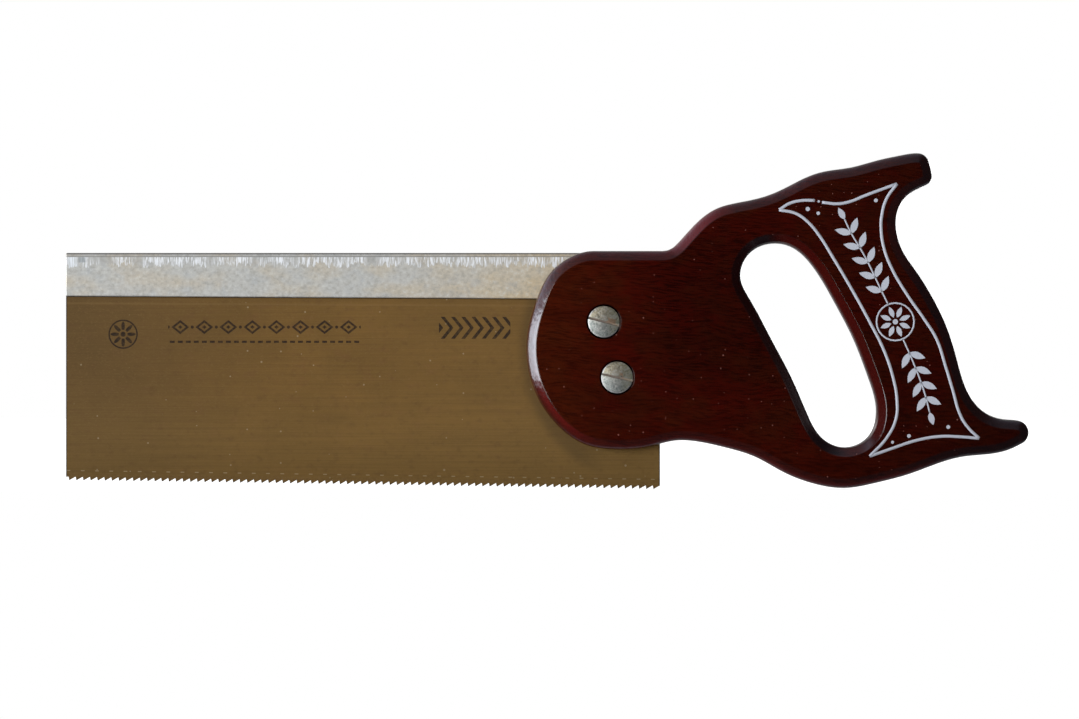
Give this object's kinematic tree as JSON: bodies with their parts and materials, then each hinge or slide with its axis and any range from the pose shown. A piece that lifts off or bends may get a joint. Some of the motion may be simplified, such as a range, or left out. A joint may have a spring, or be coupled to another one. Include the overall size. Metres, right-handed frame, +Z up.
{
  "type": "tenon saw",
  "caption": "Back saw: a rectangular toothed steel blade stiffened by a folded steel spine, fixed in a closed, rounded wooden handle by slotted saw screws.",
  "frame": {"origin": "middle of the saw's length and thickness, at the level of the heel's tooth tips", "axes": "+X along the blade from the toe towards the handle, +Y through the thickness from the front face to the back face, +Z up from the teeth to the spine"},
  "size_m": [0.405, 0.022, 0.1413],
  "materials": {
    "lacquered_wood": "glossy dark red-brown lacquer over hardwood",
    "blade_steel": "satin rolled spring steel with a bronze-brown tone",
    "spine_steel": "satin bright steel, scuffed along the fold",
    "screw_metal": "nickel-plated, lightly scuffed",
    "print_ink": "pale bluish-white screen ink on the grip's face"
  },
  "bodies": {
    "root": {"handle": "lacquered_wood", "blade": "blade_steel", "spine": "spine_steel", "upper_saw_screw": "screw_metal", "upper_saw_nut": "screw_metal", "lower_saw_screw": "screw_metal", "lower_saw_nut": "screw_metal"}
  },
  "joints": []
}
